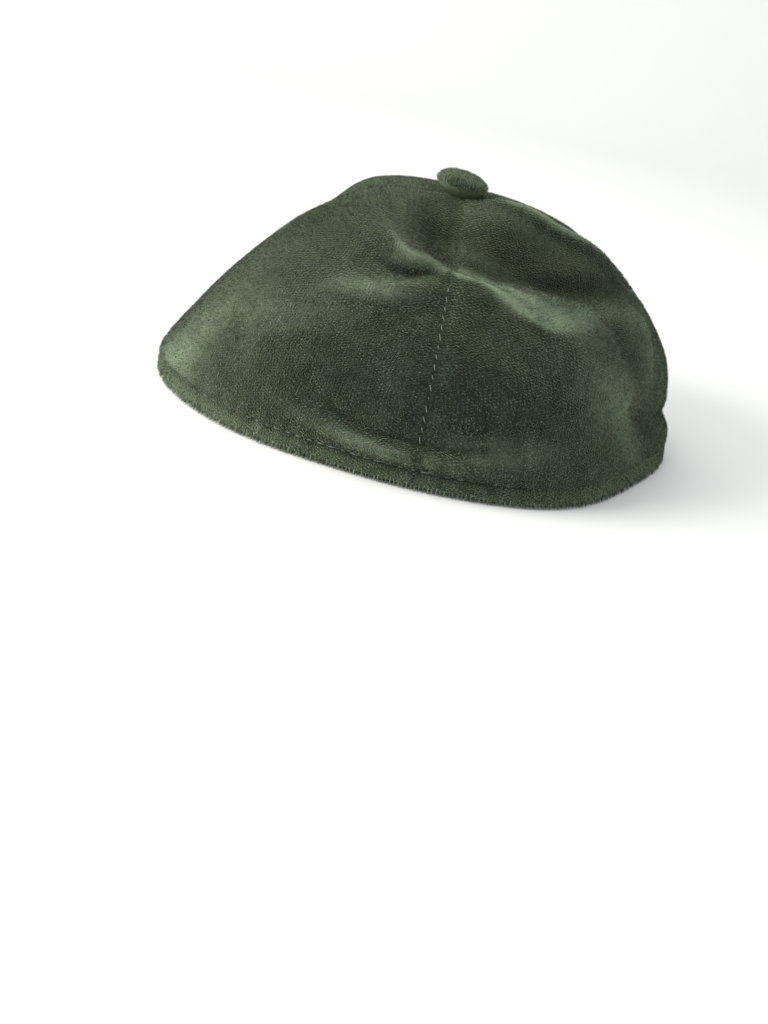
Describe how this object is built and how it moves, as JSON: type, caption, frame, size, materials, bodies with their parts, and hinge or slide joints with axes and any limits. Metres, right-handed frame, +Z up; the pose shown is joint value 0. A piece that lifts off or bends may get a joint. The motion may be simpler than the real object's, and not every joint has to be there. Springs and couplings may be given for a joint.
{
  "type": "kippah skullcap",
  "caption": "Soft velvet skullcap sewn from wedge-shaped gores, with a turned, top-stitched hem and a covered button at the crown; hollow and open below for the head.",
  "frame": {"origin": "on the surface that the hem rests on, under the middle of the cap's box", "axes": "+Z up through the button, -Y towards the front seam, +X towards the seam on the right, along the longer way of the oval rim"},
  "size_m": [0.1794, 0.1564, 0.0804],
  "materials": {
    "velvet": "dark green velvet with a short, slightly crushed pile"
  },
  "bodies": {
    "root": {"panel_front_left": "velvet", "panel_front_right": "velvet", "panel_back_left": "velvet", "panel_back_right": "velvet", "hem": "velvet", "button": "velvet"}
  },
  "joints": []
}
